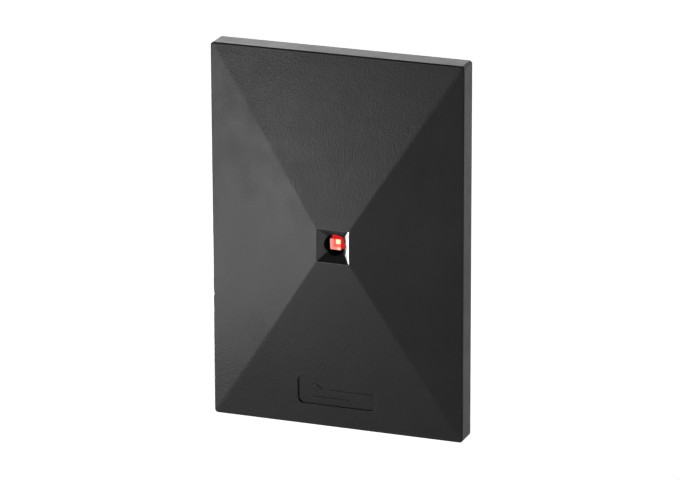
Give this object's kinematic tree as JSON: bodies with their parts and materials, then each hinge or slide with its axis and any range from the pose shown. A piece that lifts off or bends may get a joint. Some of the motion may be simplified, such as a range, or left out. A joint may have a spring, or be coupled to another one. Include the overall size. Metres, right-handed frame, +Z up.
{
  "type": "rfid card reader",
  "caption": "Wall-mounted proximity card reader: a faceted cover with a lit central funnel hooks over a screwed-on base that holds the board, antenna coil and tamper pin.",
  "frame": {"origin": "centre of the base's flat back face, which lies against the wall", "axes": "+Z up the wall towards the reader's top, -Y out of the wall towards the person with the card, +X to the right as that person sees it"},
  "size_m": [0.0762, 0.0132, 0.1118],
  "materials": {
    "cover_plastic": "fine moulded grain, glossy inside the funnel",
    "base_plastic": "plain moulded",
    "label_paper": "blank sticker",
    "black_rubber": "moulded rubber",
    "board_laminate": "green solder mask",
    "copper_wire": "enamelled copper winding",
    "amber_tape": "polyimide tape",
    "red_lens": "polished red acrylic, lit",
    "led_package": "matt package",
    "black_epoxy": "moulded epoxy",
    "can_metal": "plain tinned can",
    "tantalum_case": "moulded, with a polarity band",
    "ferrite": "sintered ferrite",
    "fuse_green": "moulded polymer",
    "film_blue": "dipped film capacitor",
    "white_nylon": "natural nylon",
    "steel": "bright zinc or tin plate",
    "brass": "turned and knurled"
  },
  "bodies": {
    "base": {"base_housing": "base_plastic", "back_label": "label_paper", "cable_grommet": "black_rubber", "circuit_board": "board_laminate", "board_screw_1": "steel", "board_screw_2": "steel", "board_screw_3": "steel", "board_screw_4": "steel", "antenna_coil": "copper_wire", "coil_tape_1": "amber_tape", "coil_tape_2": "amber_tape", "coil_tape_3": "amber_tape", "coil_tape_4": "amber_tape", "coil_lead_1": "copper_wire", "coil_lead_2": "copper_wire", "led": "led_package", "light_pipe": "red_lens", "light_pipe_holder": "black_epoxy", "microcontroller": "black_epoxy", "rf_front_end": "black_epoxy", "crystal": "can_metal", "voltage_regulator": "black_epoxy", "smoothing_capacitor": "tantalum_case", "filter_choke": "ferrite", "tuning_capacitor_1": "film_blue", "tuning_capacitor_2": "film_blue", "surge_suppressor": "black_epoxy", "resettable_fuse": "fuse_green", "output_transistor_1": "black_epoxy", "output_transistor_2": "black_epoxy", "buzzer": "black_epoxy", "cable_header": "white_nylon", "header_pin_1": "steel", "header_pin_2": "steel", "header_pin_3": "steel", "header_pin_4": "steel", "header_pin_5": "steel", "header_pin_6": "steel", "header_pin_7": "steel", "header_pin_8": "steel", "tamper_spring": "steel", "tamper_switch": "black_epoxy", "lock_insert": "brass"},
    "cover": {"front_cover": "cover_plastic"},
    "tamper_plunger": {"tamper_plunger": "white_nylon"},
    "lock_screw": {"lock_screw": "steel"}
  },
  "joints": [
    {"name": "cover_swing", "type": "hinge", "parent": "base", "child": "cover", "pos_m": [0, -0.001, 0.0559], "axis": [-1, 0, 0], "range_deg": [0, 38]},
    {"name": "tamper_press", "type": "slide", "parent": "base", "child": "tamper_plunger", "axis": [0, -1, 0], "range_m": [0, 0.0014], "stiffness_N_per_m": 180, "springref_m": -0.003, "deforming": ["tamper_spring"]},
    {"name": "lock_screw_travel", "type": "slide", "parent": "base", "child": "lock_screw", "axis": [0, 0, -1], "range_m": [0, 0.0024]}
  ]
}
